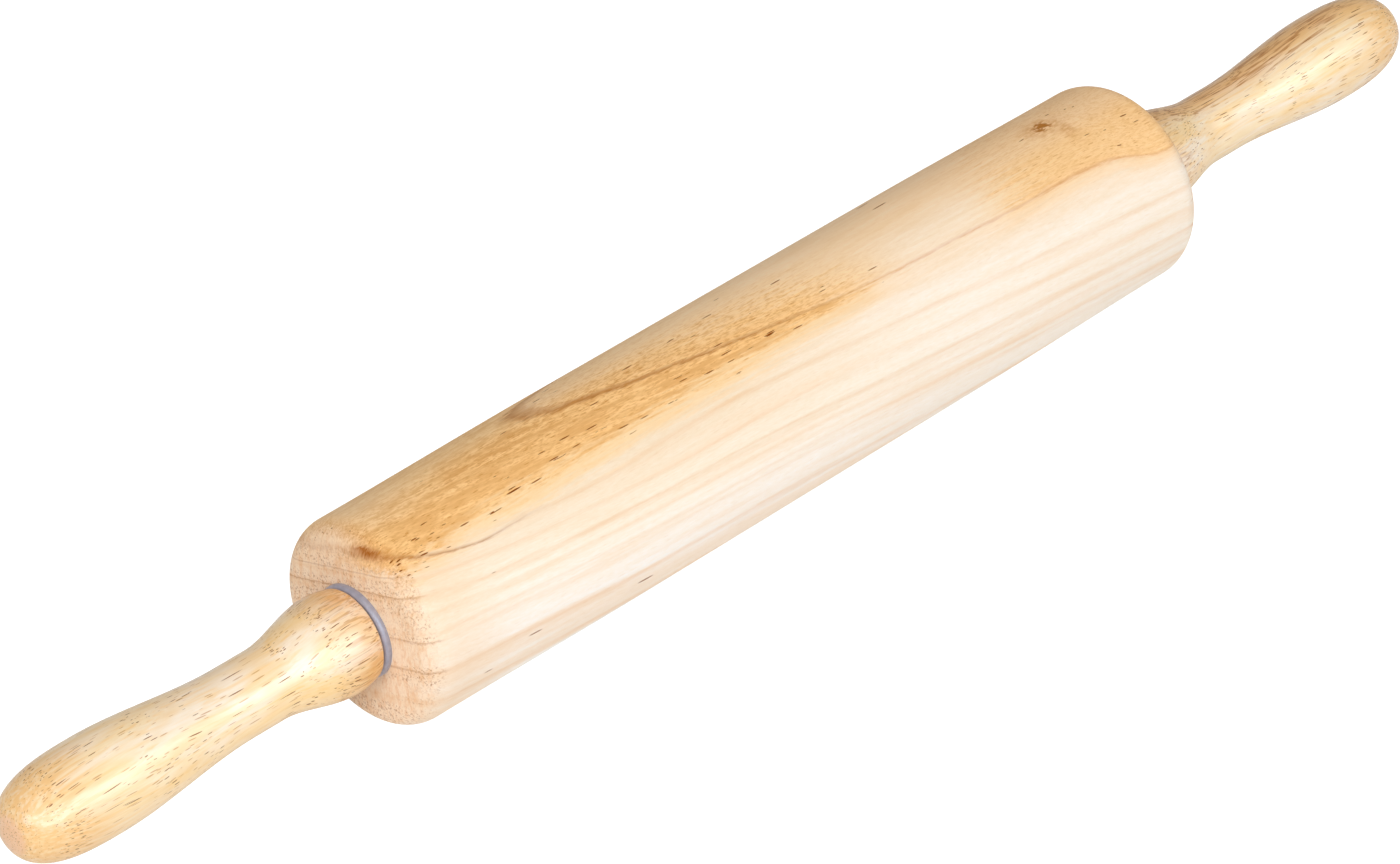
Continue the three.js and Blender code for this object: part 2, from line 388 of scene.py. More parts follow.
def makePoreGroup():
    # Vessels cut along their length: cells drawn out along the grain, of which a share hold a pore.
    # A pore is the middle of its cell, so it shows as a dash along the grain and a dot on end grain.
    numbers = {"Length": 4, "Width": 0.5, "Share": 0.3, "Size": 0.3}
    group, sketch, given, result = newGroup("openPores", numbers, ("Pores",))
    x, y, z = sketch.parts(given["Vector"])
    across = sketch.math("DIVIDE", 1, given["Width"])
    cells = sketch.join(
        sketch.math("DIVIDE", x, given["Length"]),
        sketch.product(y, across),
        sketch.product(z, across),
    )
    cell = sketch.add("ShaderNodeTexVoronoi", feature="F1")
    sketch.put(cell.inputs["Vector"], cells)
    cell.inputs["Scale"].default_value = 1
    chance = sketch.parts(cell.outputs["Color"])
    held = sketch.math("LESS_THAN", chance[0], given["Share"])
    reach = sketch.product(given["Size"], sketch.linear(chance[1], 0, 1, 0.6, 1.25))
    inner = sketch.product(reach, 0.7)
    middle = sketch.rise(cell.outputs["Distance"], inner, reach, 1, 0)
    sketch.put(result["Pores"], sketch.product(middle, held))
    return group


def makeFibreGroup():
    # Fine fibre: noise drawn out along the grain, at two widths
    numbers = {"Length": 40, "Width": 1}
    group, sketch, given, result = newGroup("woodFibre", numbers, ("Broad", "Fine"))
    x, y, z = sketch.parts(given["Vector"])
    along = sketch.math("DIVIDE", x, given["Length"])
    across = sketch.math("DIVIDE", 1, given["Width"])
    fibres = sketch.join(along, sketch.product(y, across), sketch.product(z, across))
    sketch.put(result["Broad"], sketch.noise(fibres, 1, 3, 0.55))
    sketch.put(result["Fine"], sketch.noise(fibres, 4.3, 2, 0.6))
    return group


poreGroup = makePoreGroup()
fibreGroup = makeFibreGroup()


def useGroup(sketch, group, **values):
    node = sketch.add("ShaderNodeGroup", node_tree=group)
    for name, value in values.items():
        sketch.put(node.inputs[name], value)
    return node.outputs


def usePores(sketch, grain, length, width, share, size):
    used = useGroup(sketch, poreGroup, Vector=grain, Length=length, Width=width, Share=share, Size=size)
    return used["Pores"]


def newMaterial(name):
    material = bpy.data.materials.new(name)
    material.use_nodes = True
    tree = material.node_tree
    shader = tree.nodes["Principled BSDF"]
    return material, Sketch(tree), shader


def dress(sketch, shader, look, shade, roughness, height):
    sketch.put(shader.inputs["Base Color"], shade)
    sketch.put(shader.inputs["Roughness"], roughness)
    bump = sketch.add("ShaderNodeBump")
    bump.inputs["Strength"].default_value = look["relief"]
    bump.inputs["Distance"].default_value = look["reliefDepth"]
    sketch.put(bump.inputs["Height"], height)
    sketch.put(shader.inputs["Normal"], bump.outputs["Normal"])


def toned(sketch, shade, tone):
    # a tone above 1 makes the wood lighter and whiter, and one below 1 makes it darker and yellower
    deeper = sketch.product(tone, tone)
    return sketch.blend(1, shade, sketch.join(sketch.math("SQRT", tone), tone, deeper), "MULTIPLY")


def endGrain(sketch, start=0.4, full=0.95):
    # 1 on a face that crosses the grain, 0 on one along it
    normal = sketch.add("ShaderNodeTexCoord").outputs["Normal"]
    facing = sketch.math("ABSOLUTE", sketch.parts(normal)[0])
    return sketch.rise(facing, start, full)


class Timber:
    # a wood at a point: its place, the height of its layer, and noises drawn out along its grain

    def __init__(self, sketch, wood, heightOf, fibreSize, hairSize):
        self.sketch = sketch
        self.wood = wood
        self.place = woodPlace(sketch)
        self.x, self.y, self.z = sketch.parts(self.place)
        self.height = heightOf(sketch, self.place, wood)
        self.grain = sketch.join(self.x, self.y, self.height)
        self.fibre = self.drawnFibre(*fibreSize)
        self.hair = self.drawnFibre(*hairSize)

    def drawnFibre(self, length, width):
        return useGroup(self.sketch, fibreGroup, Vector=self.grain, Length=length, Width=width)


barrelWood = {
    # The board's layers lie across the pin like a stack of sheets, a little tilted. The height of a
    # layer, in mm, is z + lean * y + climb * x, and it drifts towards both ends of the barrel.
    "lean": 0.36,
    "climb": 0.085,
    "wander": 0.45,                       # mm by which the layers wander
    "ramp": (-36, 40),                    # the heights that the colours and lines lie between
    # colour by the height of the layer; the highest layers, along the top, are a little darker, which
    # is painted shade
    "shades": (
        (-36, colour(255, 249, 240)), (-18, colour(255, 247, 238)), (-8, colour(253, 241, 226)),
        (0, colour(250, 236, 215)), (5, colour(247, 229, 204)), (12, colour(246, 225, 197)),
        (16, colour(248, 222, 189)), (20.5, colour(253, 220, 180)),
        # the step down from 24 to 32 is painted shade along the top
        (24, colour(255, 223, 180)), (32, colour(254, 217, 174)),
    ),
    "warm": colour(253, 214, 158),
    "blush": colour(249, 222, 192),
    "gold": colour(255, 205, 138),
    "deepGold": colour(204, 132, 52),
    "endGrain": colour(255, 228, 200),
    "endStreak": colour(236, 184, 132),
    "line": colour(230, 174, 108),
    "streak": colour(166, 92, 24),
    "thinLine": colour(198, 108, 6),
    "peach": colour(248, 216, 178),
    "cream": colour(252, 240, 225),
    "fuzz": colour(184, 130, 90),
    "pore": colour(140, 74, 14),
    "knotCore": colour(172, 106, 30),
    # lines: height of the layer, depth of colour, width below and above in mm
    "growthLines": (
        (12.2, 0.26, 1.3, 0.6), (6.2, 0.18, 1.7, 0.9), (0.6, 0.3, 2.3, 0.8), (-2.8, 0.1, 1.4, 0.6),
        (-6.9, 0.2, 1.3, 0.7), (-8.9, 0.15, 1.6, 0.6), (-16.8, 0.28, 2.8, 1), (-25.4, 0.28, 2.6, 1),
    ),
    # those that show in the golden wood only
    "goldLines": (
        (19.4, 0.45, 0.9, 0.5), (17.6, 0.5, 1, 0.4), (15.4, 0.3, 0.8, 0.5), (23, 0.3, 0.8, 0.5),
    ),
    # those that show on the end faces and rounded edges only
    "endLines": (
        (17, 0.4, 0.4, 0.2), (7.6, 0.5, 0.4, 0.2), (0.6, 0.6, 0.5, 0.2),
        (-8.9, 0.55, 0.5, 0.2), (-16.8, 0.5, 0.5, 0.2),
    ),
    "edgeLine": ((21.75, 0.95, 0.5, 0.25),),     # the golden band's upper edge
    "patchLine": ((21.7, 0.5, 0.8, 0.35),),      # the golden patch's lower edge
    "brownLine": ((12.2, 0.95, 0.5, 0.25),),     # along the left end of the barrel, under the band
    "brownStreak": ((12.4, 1, 0.75, 0.35),),     # and where that line crosses the left end face
    # golden heartwood
    "goldLevel": 19.3,                    # the band's lower edge, as z + lean * y
    "bandTop": (21.6, 22),                # heights of the layers between which the band ends
    # places along the barrel, in mm from its middle, over which a change takes place
    "spillEnd": (0, 46),                  # the gold above the band's upper edge dies away
    "leftDip": (-98, -122),               # the band reaches lower, and all the wood is more peach
    "leftFade": (-88, -120),              # the band's back turns paler
    "leftCorner": (-62, -96),             # the band's front turns deeper
    "brownStart": (-82, -108),            # the brown line comes in
    "leftFace": (-124.5, -127.5),         # the rounded edge turns into the left end face
    "creamStart": (-30, 50),              # the middle layers turn creamy
    "patchStart": (64, 88),               # the golden patch comes in
    "patchLineStart": (72, 86),
    "knot": (100.3, 3.6, 26),             # x, y, z from the middle of the axis
    "knotTail": (3.6, -5, 0.2),           # the middle of the knot's tail, from the knot's
    "roughness": (0.5, 0.62),
    "specular": 0.06,
    "relief": 0.35,
    "reliefDepth": 0.06 * mm,
}


def layerHeight(sketch, place, wood):
    x, y, z = sketch.parts(place)
    raw = sketch.math("MULTIPLY_ADD", y, wood["lean"], z)
    raw = sketch.math("MULTIPLY_ADD", x, wood["climb"], raw)
    # the layers climb to the left: there the middle ones level out, and the top ones climb on
    left = sketch.rise(x, 0, -80)
    levelling = sketch.total(sketch.rise(raw, 0, 6.5, 2, 5), sketch.rise(raw, 7, 16, 0, -5))
    height = sketch.math("MULTIPLY_ADD", left, levelling, raw)
    # close to the left end face the middle ones climb once more
    lastClimb = sketch.product(
        sketch.rise(x, -102, -130),
        sketch.rise(raw, -12, 6, 0, -2.6),
        sketch.rise(raw, 11, 19, 1, 0),
    )
    # towards the right end the top layers level out, and at the patch they arch
    levelRight = sketch.product(sketch.rise(x, 10, 75), sketch.rise(raw, 14, 21, 0, -2.3))
    height = sketch.total(height, lastClimb, levelRight)
    arch = sketch.product(sketch.rise(x, 64, 98), sketch.rise(x, 105, 121, -1.8, 1.2))
    height = sketch.math("MULTIPLY_ADD", arch, sketch.rise(raw, 18, 23), height)
    # the layers swell round the knot
    near = knotNearness(sketch, place, wood, 11, 6)
    height = sketch.math("MULTIPLY_ADD", near, -1.6, height)
    slow = sketch.drawn(place, (0.022, 0.09, 0.09))
    return sketch.total(height, sketch.linear(slow, 0, 1, -wood["wander"], wood["wander"]))


def knotNearness(sketch, place, wood, along, across, beside=(0, 0, 0)):
    # 1 at the knot's middle, or a place beside it, and 0 from an ellipse of these half lengths on
    sizes = (1 / along, 1 / across, 1 / across)
    middle = np.array(wood["knot"]) + beside
    shift = tuple((-middle * sizes).tolist())
    scaled = sketch.stretch(place, sizes, shift)
    length = sketch.add("ShaderNodeVectorMath", operation="LENGTH")
    sketch.put(length.inputs[0], scaled)
    return sketch.rise(length.outputs["Value"], 1, 0)


class Board(Timber):
    # the barrel's wood, with the noises that its colours come from and its golden heartwood

    def __init__(self, sketch, wood):
        super().__init__(sketch, wood, layerHeight, (34, 1.1), (5, 0.7))
        self.wisps = sketch.drawn(self.grain, (0.05, 0.55, 0.9), detail=3, roughness=0.65)
        self.strokes = sketch.drawn(self.grain, (0.45, 2.1, 2.3), (3.3, 0.7, 1.1), 3, 0.7)
        self.fuzz = sketch.noise(self.place, 1.7, 3, 0.7)
        self.ends = endGrain(sketch)
        # how uneven the fibre makes the edges between colours, in mm
        self.streaks = sketch.total(
            sketch.linear(self.fibre["Broad"], 0.3, 0.7, -1.3, 1.3),
            sketch.linear(self.hair["Broad"], 0.3, 0.7, -0.8, 0.8),
        )
        self.streaky = sketch.total(self.height, self.streaks)
        fine = sketch.linear(self.hair["Broad"], 0.25, 0.75, -0.22, 0.22)
        self.ragged = sketch.total(self.height, fine)
        self.level = sketch.math("MULTIPLY_ADD", self.y, wood["lean"], self.z)
        fromEdge = sketch.math("SUBTRACT", sketch.total(self.level, self.streaks), wood["goldLevel"])
        self.fromEdge = sketch.total(fromEdge, sketch.rise(self.x, *wood["leftDip"], 0, 2.6))
        self.underTop = sketch.rise(self.ragged, *wood["bandTop"], 1, 0)
        self.patch = self.goldPatch()
        self.gold = sketch.most(self.goldBand(), self.patch)

    def goldBand(self):
        # a band of golden heartwood from the left end to past the middle
        sketch, wood, x, y = self.sketch, self.wood, self.x, self.y
        spill = sketch.rise(self.streaky, 22.5, 30, 0.9, 0)
        spill = sketch.product(spill, sketch.rise(x, *wood["spillEnd"], 1, 0))
        paler = sketch.product(sketch.rise(x, *wood["leftFade"]), sketch.rise(y, -5, 2), 0.4)
        return sketch.product(
            sketch.rise(self.fromEdge, -1.4, 2.6),
            sketch.most(self.underTop, spill),
            sketch.rise(y, 1, 10, 1, 0.4),
            sketch.without(paler),
        )

    def goldPatch(self):
        # a patch of it at the right end
        sketch, wood = self.sketch, self.wood
        place = sketch.math("MULTIPLY_ADD", self.streaks, 5, self.x)
        return sketch.product(
            sketch.rise(place, *wood["patchStart"]),
            sketch.rise(self.ragged, 20.4, 22.3),
            sketch.rise(self.level, 23, 26.5, 0.72, 0.34),
        )

    def lines(self, name, height):
        # each line is a soft notch in a plain ramp: clear, full depth at its height, clear again
        low, high = self.wood["ramp"]
        span = high - low
        stops = []
        for at, depth, below, above in self.wood[name]:
            share = (at - low) / span
            stops += [
                (share - below / span, (0, 0, 0, 1)),
                (share, (depth, depth, depth, 1)),
                (share + above / span, (0, 0, 0, 1)),
            ]
        return self.sketch.ramp(self.sketch.linear(height, low, high), stops)


def paleShade(sketch, wood, board):
    # the pale wood, coloured by its layers, with a little painted shade along the top
    x = board.x
    low, high = wood["ramp"]
    stops = [((at - low) / (high - low), shade) for at, shade in wood["shades"]]
    shade = sketch.ramp(sketch.linear(board.streaky, low, high), stops)
    nearGold = sketch.product(sketch.rise(board.fromEdge, -5, -0.5), board.underTop)
    nearGold = sketch.product(nearGold, sketch.rise(x, 0, 34, 0.8, 0.15))
    shade = sketch.blend(nearGold, shade, wood["warm"])
    creamy = sketch.rise(x, *wood["creamStart"], 0, 0.75)
    creamy = sketch.product(creamy, sketch.rise(board.height, 20, 15))
    # in front, between the band and the patch, the top layers are creamy too
    between = sketch.product(sketch.rise(x, 16, 40), sketch.rise(x, 76, 58))
    between = sketch.product(between, sketch.rise(board.y, 2, -8), 0.4)
    shade = sketch.blend(sketch.most(creamy, between), shade, wood["cream"])
    return sketch.blend(sketch.rise(x, *wood["leftDip"], 0, 0.5), shade, wood["peach"])


def goldShade(sketch, wood, board, shade):
    # the golden wood, with deep strokes, broad wisps in the band, and more of them at its left front
    gold = board.gold
    shade = sketch.blend(gold, shade, wood["gold"])
    strokes = sketch.rise(board.strokes, 0.44, 0.64, 0, 0.66)
    strokes = sketch.product(gold, strokes, sketch.rise(board.patch, 0.1, 0.5, 1, 0.6))
    broad = sketch.product(gold, board.underTop, sketch.rise(board.wisps, 0.44, 0.62, 0, 0.5))
    corner = sketch.product(
        gold,
        sketch.rise(board.x, *wood["leftCorner"]),
        sketch.rise(board.y, 2.5, -3.5),
        sketch.rise(board.wisps, 0.34, 0.62, 0, 0.5),
    )
    deep = sketch.most(strokes, sketch.most(broad, corner))
    deep = sketch.product(deep, sketch.rise(board.y, 1, -7, 1, 0.72))
    return sketch.blend(deep, shade, wood["deepGold"])


def streakShade(sketch, wood, board, shade):
    # a blush in the layers under the gold, and light and dark streaks along the grain everywhere
    height = board.height
    blush = sketch.drawn(board.grain, (0.012, 0.06, 0.24), (0.3, 1.9, 4.1))
    blush = sketch.product(sketch.rise(blush, 0.42, 0.66, 0, 0.6), sketch.rise(height, 14, 9))
    shade = sketch.blend(blush, shade, wood["blush"])
    mottle = sketch.linear(board.wisps, 0.3, 0.7, 0.055, -0.055)
    mottle = sketch.math("MULTIPLY_ADD", mottle, sketch.rise(height, 9, 20, 0.45, 1), 1)
    speck = sketch.linear(board.strokes, 0.25, 0.75, 1.05, 0.95)
    return toned(sketch, shade, sketch.product(mottle, speck))


def endShade(sketch, wood, board, shade):
    # on the end faces the colour is paler and pinker, with a fuzz of cut fibres along some layers
    ends, fuzz = board.ends, board.fuzz
    pinker = sketch.product(sketch.rise(board.gold, 0, 1, 0.75, 0.2), ends)
    shade = sketch.blend(pinker, shade, wood["endGrain"])
    cut = sketch.drawn(board.place, (0.3, 0.9, 0.3), detail=4, roughness=0.7)
    cut = sketch.product(ends, sketch.rise(cut, 0.42, 0.68, 0, 0.6))
    shade = sketch.blend(cut, shade, wood["endStreak"])
    # the top of the left end's rounded edge keeps some of the gold
    rim = sketch.product(
        endGrain(sketch, 0.1, 0.45),
        sketch.rise(endGrain(sketch, 0.7, 0.98), 0, 1, 1, 0),
        sketch.rise(board.x, 0, -1),
        sketch.rise(board.z, 15, 21),
        sketch.rise(fuzz, 0.38, 0.6, 0.06, 0.34),
    )
    shade = sketch.blend(rim, shade, wood["deepGold"])
    layers = sketch.drawn(board.grain, (0.02, 0.03, 0.42))
    crossed = sketch.product(
        sketch.rise(fuzz, 0.5, 0.66),
        sketch.rise(layers, 0.4, 0.58, 0.15, 0.75),
        endGrain(sketch, 0.2, 0.7),
    )
    return sketch.blend(crossed, shade, wood["fuzz"])


def growthShade(sketch, wood, board, shade):
    goldLines = sketch.product(board.lines("goldLines", board.ragged), board.gold)
    lines = sketch.most(board.lines("growthLines", board.ragged), goldLines)
    patchy = sketch.linear(board.fibre["Broad"], 0.3, 0.66, 0.35, 1.35)
    # the upper lines give way to the brown one at the left end
    atLeft = sketch.product(sketch.rise(board.x, -90, -104), sketch.rise(board.height, 9.5, 10.5))
    lines = sketch.product(lines, patchy, sketch.without(atLeft))
    return sketch.blend(lines, shade, wood["line"])


def brownShade(sketch, wood, board, shade):
    x, y = board.x, board.y
    # the golden band's upper edge is a thin brown line, faint towards the right
    bandEdge = sketch.product(board.lines("edgeLine", board.ragged), sketch.rise(x, -25, 25, 1, 0.45))
    patchEdge = sketch.product(
        board.lines("patchLine", board.ragged),
        sketch.rise(x, *wood["patchLineStart"]),
        sketch.rise(x, 120, 104, 0.35, 1),
    )
    # another brown line runs out over the left end's edge, and is a broad streak there
    lowered = sketch.total(
        board.ragged,
        sketch.rise(x, -88, -106, 0, 1.4),
        sketch.rise(x, -116, -127, 0, -0.5),
    )
    onFace = sketch.rise(x, *wood["leftFace"])
    fainter = sketch.product(onFace, sketch.rise(y, -2, 5), 0.6)
    under = sketch.product(
        board.lines("brownLine", lowered),
        sketch.rise(x, *wood["brownStart"], 0, 0.85),
        sketch.without(fainter),
    )
    streak = sketch.product(board.lines("brownStreak", lowered), onFace)
    streak = sketch.product(streak, sketch.rise(y, -2.5, 3.5, 1, 0.1))
    thin = sketch.product(board.lines("endLines", board.ragged), endGrain(sketch, 0.1, 0.6))
    brown = sketch.most(sketch.most(bandEdge, patchEdge), sketch.most(under, thin))
    brown = sketch.product(brown, sketch.rise(board.hair["Broad"], 0.3, 0.6, 0.6, 1))
    lineShade = sketch.blend(sketch.rise(x, -10, 40), wood["streak"], wood["thinLine"])
    return sketch.blend(sketch.most(brown, streak), shade, lineShade)


def knotShade(sketch, wood, board, shade):
    # a small knot with a brown core, a golden halo and a tail towards the front
    place = board.place
    rough = sketch.drawn(place, (0.5, 0.9, 0.9), detail=3, roughness=0.6)
    halo = knotNearness(sketch, place, wood, 9, 6)
    halo = sketch.product(halo, sketch.rise(rough, 0.3, 0.6), 0.8)
    tail = knotNearness(sketch, place, wood, 3.6, 6.5, wood["knotTail"])
    tail = sketch.product(tail, sketch.rise(rough, 0.3, 0.7, 0.1, 0.8), 0.8)
    core = knotNearness(sketch, place, wood, 4.6, 4)
    core = sketch.product(core, sketch.rise(rough, 0.3, 0.65))
    core = sketch.product(sketch.rise(core, 0.12, 0.5), 0.8)
    shade = sketch.blend(sketch.most(halo, tail), shade, wood["deepGold"])
    return sketch.blend(core, shade, wood["knotCore"])


def barrelPores(sketch, board):
    # long open pores, more of them in the gold, and most along the band's lower edge
    lowGold = sketch.product(
        sketch.rise(board.fromEdge, -1.5, 0.5),
        sketch.rise(board.fromEdge, 1.5, 3.5, 1, 0),
        board.underTop,
        sketch.rise(board.x, 30, 0),
    )
    share = sketch.math("MULTIPLY_ADD", lowGold, 0.3, 0.006)
    share = sketch.math("MULTIPLY_ADD", board.gold, 0.05, share)
    return usePores(sketch, board.grain, 7, 0.58, share, 0.34)


def makeBarrelWood(wood):
    material, sketch, shader = newMaterial("paleHardwood")
    board = Board(sketch, wood)
    shade = paleShade(sketch, wood, board)
    for step in (goldShade, streakShade, endShade, growthShade, brownShade, knotShade):
        shade = step(sketch, wood, board, shade)
    ticks = usePores(sketch, board.grain, 3.6, 0.5, 0.34, 0.3)
    ticks = sketch.product(ticks, sketch.rise(board.gold, 0.1, 0.9, 0.08, 0.6))
    shade = sketch.blend(ticks, shade, wood["deepGold"])
    pores = barrelPores(sketch, board)
    shade = sketch.blend(pores, shade, wood["pore"])
    roughness = sketch.linear(board.fibre["Broad"], 0.2, 0.8, *wood["roughness"])
    relief = sketch.math("SUBTRACT", board.hair["Fine"], sketch.product(pores, 2))
    relief = sketch.math("MULTIPLY_ADD", board.ends, board.fuzz, relief)
    dress(sketch, shader, wood, shade, roughness, relief)
    shader.inputs["Specular IOR Level"].default_value = wood["specular"]
    return material


handleWood = {
    "honey": colour(255, 231, 190),
    # also the painted shade under the handles
    "amber": colour(252, 209, 136),
    "pale": colour(254, 237, 214),
    "tip": colour(246, 198, 134),
    # painted shade on the back of the handles
    "back": colour(240, 187, 120),
    "seam": colour(186, 122, 56),
    "endGrain": colour(244, 196, 156),
    "foot": colour(228, 164, 84),
    "pore": colour(132, 70, 0),
    "fleck": colour(190, 128, 52),
    "wander": 4,                          # mm by which the layers wander
    "footReach": 147,                     # mm from the middle: the foot is darker up to here
    "noseReach": 203,                     # and the nose from here on
    "roughness": (0.34, 0.46),
    "specular": 0.2,
    "coat": (0.7, 0.05),                  # the lacquer: on the wood, and sunk into an open pore
    "coatRoughness": 0.25,
    "relief": 0.35,
    "reliefDepth": 0.06 * mm,
}


def stickHeight(sketch, place, wood):
    # a handle's layers lie level, and wander
    slow = sketch.drawn(place, (0.02, 0.09, 0.09), (3.1, 1.7, 5.2))
    wander = sketch.linear(slow, 0, 1, -wood["wander"], wood["wander"])
    return sketch.total(sketch.parts(place)[2], wander)


class Dowel(Timber):
    # a handle's wood; far is how far out it is from the pin's middle

    def __init__(self, sketch, wood):
        super().__init__(sketch, wood, stickHeight, (22, 0.9), (7, 0.7))
        self.far = sketch.math("ABSOLUTE", self.x)

    def handed(self, left, right):
        # one amount on the left handle and another on the right one
        return self.sketch.rise(self.x, 0, 1, left, right)


def honeyShade(sketch, wood, dowel):
    bands = sketch.drawn(dowel.grain, (0.012, 0.12, 0.3))
    shade = sketch.blend(sketch.rise(bands, 0.38, 0.62), wood["honey"], wood["pale"])
    # amber in some fibres and in clouds, and amber underneath as painted shade, above all on the left
    # handle
    clouds = sketch.drawn(dowel.place, (0.05, 0.13, 0.13), (7.7, 2.2, 0.4))
    # painted shade: amber towards the underside
    under = sketch.product(sketch.rise(dowel.z, 5, -6, 0, 0.5), dowel.handed(1, 0.15))
    shade = sketch.blend(sketch.rise(dowel.fibre["Broad"], 0.45, 0.7, 0, 0.55), shade, wood["amber"])
    shade = sketch.blend(sketch.rise(clouds, 0.46, 0.66, 0, 0.5), shade, wood["amber"])
    return sketch.blend(under, shade, wood["amber"])


def footShade(sketch, wood, dowel, shade):
    # the foot is darker at the back and underneath, and more so on the left handle
    foot = sketch.product(
        sketch.rise(dowel.far, wood["footReach"], wood["footReach"] - 13, 0, 0.85),
        sketch.most(sketch.rise(dowel.z, 6, -2, 0.35, 1), sketch.rise(dowel.y, -6, 1, 0.35, 1)),
        sketch.rise(dowel.hair["Broad"], 0.36, 0.62, 0.35, 1),
        dowel.handed(1, 0.4),
    )
    return sketch.blend(foot, shade, wood["foot"])


def paintedBackShadeAndSeams(sketch, wood, dowel, shade):
    # the back is browner, above all on the right handle, which is painted shade; dark seams run there
    # and at both feet
    y = dowel.y
    # painted shade: the back is browner
    back = sketch.product(sketch.rise(y, -6, 1.5), dowel.handed(0.2, 0.9))
    shade = sketch.blend(back, shade, wood["back"])
    seams = sketch.drawn(dowel.grain, (0.035, 1.5, 1.5), (0.6, 2.7, 8.1), roughness=0.6)
    seamed = sketch.most(
        sketch.product(sketch.rise(y, -5.5, -1.5), dowel.handed(0, 1)),
        sketch.rise(dowel.far, wood["footReach"], wood["footReach"] - 12, 0, 0.6),
    )
    seams = sketch.product(sketch.rise(seams, 0.5, 0.62, 0, 0.75), seamed)
    return sketch.blend(seams, shade, wood["seam"])


def noseShade(sketch, wood, dowel, shade):
    # the nose is darker, and its very tip shows end grain
    nose = sketch.rise(dowel.far, wood["noseReach"], wood["noseReach"] + 16, 0, 0.95)
    nose = sketch.product(nose, sketch.rise(dowel.fibre["Broad"], 0.35, 0.6, 0.45, 1))
    shade = sketch.blend(nose, shade, wood["tip"])
    return sketch.blend(sketch.product(endGrain(sketch, 0.86, 0.97), 0.8), shade, wood["endGrain"])


def handlePores(sketch, wood, dowel):
    # open pores, crowded in some bands, at the foot and on the nose
    far = dowel.far
    bands = sketch.drawn(dowel.grain, (0.02, 0.25, 0.25), (1.3, 4.4, 2.9), 1)
    crowd = sketch.most(
        sketch.rise(bands, 0.38, 0.62),
        sketch.rise(far, wood["footReach"] + 8, wood["footReach"] - 8),
        sketch.rise(far, wood["noseReach"], wood["noseReach"] + 14),
    )
    share = sketch.math("MULTIPLY_ADD", crowd, 0.36, 0.07)
    return usePores(sketch, dowel.grain, 13, 0.4, share, 0.28)


def makeHandleWood(wood):
    material, sketch, shader = newMaterial("lacqueredHardwood")
    dowel = Dowel(sketch, wood)
    shade = honeyShade(sketch, wood, dowel)
    for step in (footShade, paintedBackShadeAndSeams, noseShade):
        shade = step(sketch, wood, dowel, shade)
    shade = toned(sketch, shade, sketch.linear(dowel.hair["Broad"], 0.25, 0.75, 0.93, 1.06))
    flecks = usePores(sketch, dowel.grain, 6, 0.46, 0.45, 0.3)
    shade = sketch.blend(sketch.product(flecks, 0.6), shade, wood["fleck"])
    pores = handlePores(sketch, wood, dowel)
    shade = sketch.blend(pores, shade, wood["pore"])
    roughness = sketch.linear(dowel.fibre["Broad"], 0.2, 0.8, *wood["roughness"])
    relief = sketch.math("SUBTRACT", sketch.product(dowel.hair["Fine"], 0.3), pores)
    dress(sketch, shader, wood, shade, roughness, relief)
    shader.inputs["Specular IOR Level"].default_value = wood["specular"]
    sketch.put(shader.inputs["Coat Weight"], sketch.linear(pores, 0, 1, *wood["coat"]))
    shader.inputs["Coat Roughness"].default_value = wood["coatRoughness"]
    return material


cupNylon = {
    "dark": colour(154, 153, 168),
    "light": colour(170, 168, 182),
    "roughness": (0.3, 0.42),
    "relief": 0.15,
    "reliefDepth": 0.03 * mm,
}


def makeNylon(nylon):
    material, sketch, shader = newMaterial("greyNylon")
    place = woodPlace(sketch)
    cloud = sketch.noise(place, 0.6, 3, 0.6)
    grit = sketch.noise(place, 9, 2, 0.6)
    shade = sketch.blend(sketch.rise(cloud, 0.3, 0.7), nylon["dark"], nylon["light"])
    dress(sketch, shader, nylon, shade, sketch.rise(grit, 0.3, 0.7, *nylon["roughness"]), grit)
    return material


# The rod and cones are turned, and the balls are polished
rodSteel = {
    "shade": colour(170, 172, 176),
    "smear": colour(188, 190, 194),
    "roughness": (0.25, 0.4),
    "ringScale": 6,                       # how often the rings change in a mm along the axis
    "relief": 0.1,
    "reliefDepth": 0.01 * mm,
}
ballSteel = {**rodSteel, "shade": colour(214, 216, 220), "roughness": (0.06, 0.12), "ringScale": 2}


def makeSteel(name, steel):
    # fine rings round the pin's axis, from noise that changes along X far more than across it
    material, sketch, shader = newMaterial(name)
    place = woodPlace(sketch)
    rings = sketch.drawn(place, (steel["ringScale"], 0.05, 0.05), detail=3, roughness=0.6)
    smear = sketch.noise(place, 0.4, 2, 0.5)
    shade = sketch.blend(sketch.rise(smear, 0.3, 0.7), steel["shade"], steel["smear"])
    dress(sketch, shader, steel, shade, sketch.rise(rings, 0.3, 0.7, *steel["roughness"]), rings)
    shader.inputs["Metallic"].default_value = 1
    return material


paleHardwood = makeBarrelWood(barrelWood)
lacqueredHardwood = makeHandleWood(handleWood)
greyNylon = makeNylon(cupNylon)
turnedSteel = makeSteel("turnedSteel", rodSteel)
polishedSteel = makeSteel("polishedSteel", ballSteel)
print("stage: materials")


# Barrel

barrelShape = {
    "easeLength": 70 * mm,
    "easeDepth": 0.5 * mm,
    "edgeLength": 6 * mm,
    "edgeDepth": 5 * mm,
    "seatRadius": 10.8 * mm,
    "seatDepth": 11.47 * mm,
    "boreRadius": 5.4 * mm,
    "sides": 256,
}


